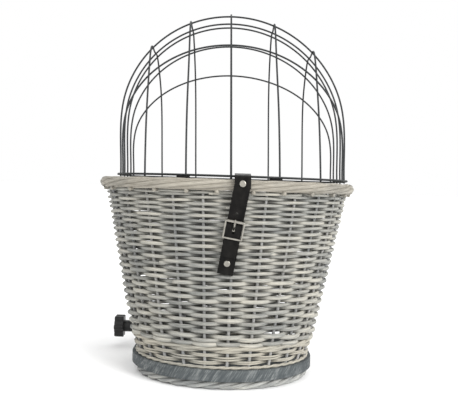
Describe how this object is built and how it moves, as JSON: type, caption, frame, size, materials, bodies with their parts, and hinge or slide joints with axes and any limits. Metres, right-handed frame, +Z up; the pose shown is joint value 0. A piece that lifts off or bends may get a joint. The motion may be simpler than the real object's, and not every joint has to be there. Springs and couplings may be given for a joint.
{
  "type": "handlebar basket",
  "caption": "Woven willow pet basket for a bicycle handlebar, with plywood floor, hinged wire dome, leather strap and buckle, bar clamps and a knob-tightened tube clamp.",
  "frame": {"origin": "on the ground, under the middle of the overall box", "axes": "+Z up; -Y is the strap side; +Y is the flat back that faces the bicycle"},
  "size_m": [0.3486, 0.358, 0.4857],
  "materials": {
    "willow": "grey-washed peeled willow, matt",
    "willow_fine": "fine grey-washed willow, matt",
    "willow_pale": "pale willow, matt",
    "willow_border": "pale grey-washed willow, matt",
    "willow_foot": "pale grey-washed willow, matt",
    "plywood": "blue-grey wash on plywood",
    "leather": "smooth black leather, low sheen",
    "nickel": "nickel plate",
    "wire": "anthracite powder coat, semi-gloss",
    "knob_plastic": "moulded black plastic",
    "rubber_pad": "matt black rubber",
    "clamp_metal": "black anodised aluminium, satin",
    "black_steel": "black powder coat, satin",
    "zinc": "bright zinc plate"
  },
  "bodies": {
    "basket": {"backing_strip_left": "black_steel", "backing_strip_right": "black_steel", "base_board": "plywood", "bracket_backing": "black_steel", "bracket_bolts": "zinc", "bracket_nuts": "zinc", "buckle_frame": "nickel", "clamp_base_left": "clamp_metal", "clamp_base_right": "clamp_metal", "clamp_cap_left": "clamp_metal", "clamp_cap_right": "clamp_metal", "clamp_screws": "zinc", "foot_border": "willow_foot", "hinge_rivets": "nickel", "hinge_strap_left": "leather", "hinge_strap_right": "leather", "lower_rivet_washer": "nickel", "lower_strap": "leather", "lower_strap_rivet": "nickel", "mount_rail_left": "black_steel", "mount_rail_right": "black_steel", "rail_bolts": "zinc", "rail_nuts": "zinc", "rim_border": "willow_border", "stakes": "willow", "tube_bracket": "black_steel", "upsett_weave": "willow_fine", "wale_band": "willow_pale", "wall_weave": "willow"},
    "cage": {"cage_ring": "wire", "hoop_back_lower": "wire", "hoop_back_upper": "wire", "hoop_crown_back": "wire", "hoop_crown_front": "wire", "hoop_crown_middle": "wire", "hoop_front": "wire", "rib_centre": "wire", "rib_far_left": "wire", "rib_far_right": "wire", "rib_left": "wire", "rib_right": "wire"},
    "strap": {"upper_strap": "leather", "upper_strap_rivet": "nickel"},
    "roller": {"buckle_roller": "nickel"},
    "prong": {"buckle_prong": "nickel"},
    "knob_spindle": {"knob": "knob_plastic", "spindle": "zinc"},
    "jaw_block": {"fixed_jaw": "clamp_metal", "fixed_jaw_pad": "rubber_pad"},
    "sliding_jaw": {"moving_jaw": "clamp_metal", "moving_jaw_pad": "rubber_pad"}
  },
  "joints": [
    {"name": "dome_hinge", "type": "hinge", "parent": "basket", "child": "cage", "pos_m": [0.007, 0.123, 0.26], "axis": [-1, 0, 0], "range_deg": [0, 100]},
    {"name": "strap_swing", "type": "hinge", "parent": "cage", "child": "strap", "pos_m": [0.0187, -0.14366, 0.26], "axis": [1, 0, 0], "range_deg": [0, 100], "deforming": ["upper_strap"]},
    {"name": "roller_spin", "type": "hinge", "parent": "basket", "child": "roller", "pos_m": [0.01144, -0.16712, 0.2061], "axis": [0.9871, 0, -0.1599], "continuous": true},
    {"name": "prong_lift", "type": "hinge", "parent": "basket", "child": "prong", "pos_m": [0.00974, -0.16223, 0.1956], "axis": [0.9871, 0, -0.1599], "range_deg": [0, 65]},
    {"name": "jaw_swivel", "type": "hinge", "parent": "basket", "child": "jaw_block", "pos_m": [0, 0.088, 0.0284], "axis": [1, 0, 0], "range_deg": [-18, 5]},
    {"name": "knob_turn", "type": "hinge", "parent": "basket", "child": "knob_spindle", "pos_m": [-0.1, 0.088, 0.0284], "axis": [-1, 0, 0], "range_deg": [0, 1440]},
    {"name": "jaw_slide", "type": "slide", "parent": "jaw_block", "child": "sliding_jaw", "axis": [1, 0, 0], "range_m": [0, 0.005]}
  ],
  "couplings": [
    {"joint": "strap_swing", "follows": "dome_hinge", "ratio": 1},
    {"joint": "knob_turn", "follows": "jaw_slide", "rad_per_m": 5026.5}
  ]
}
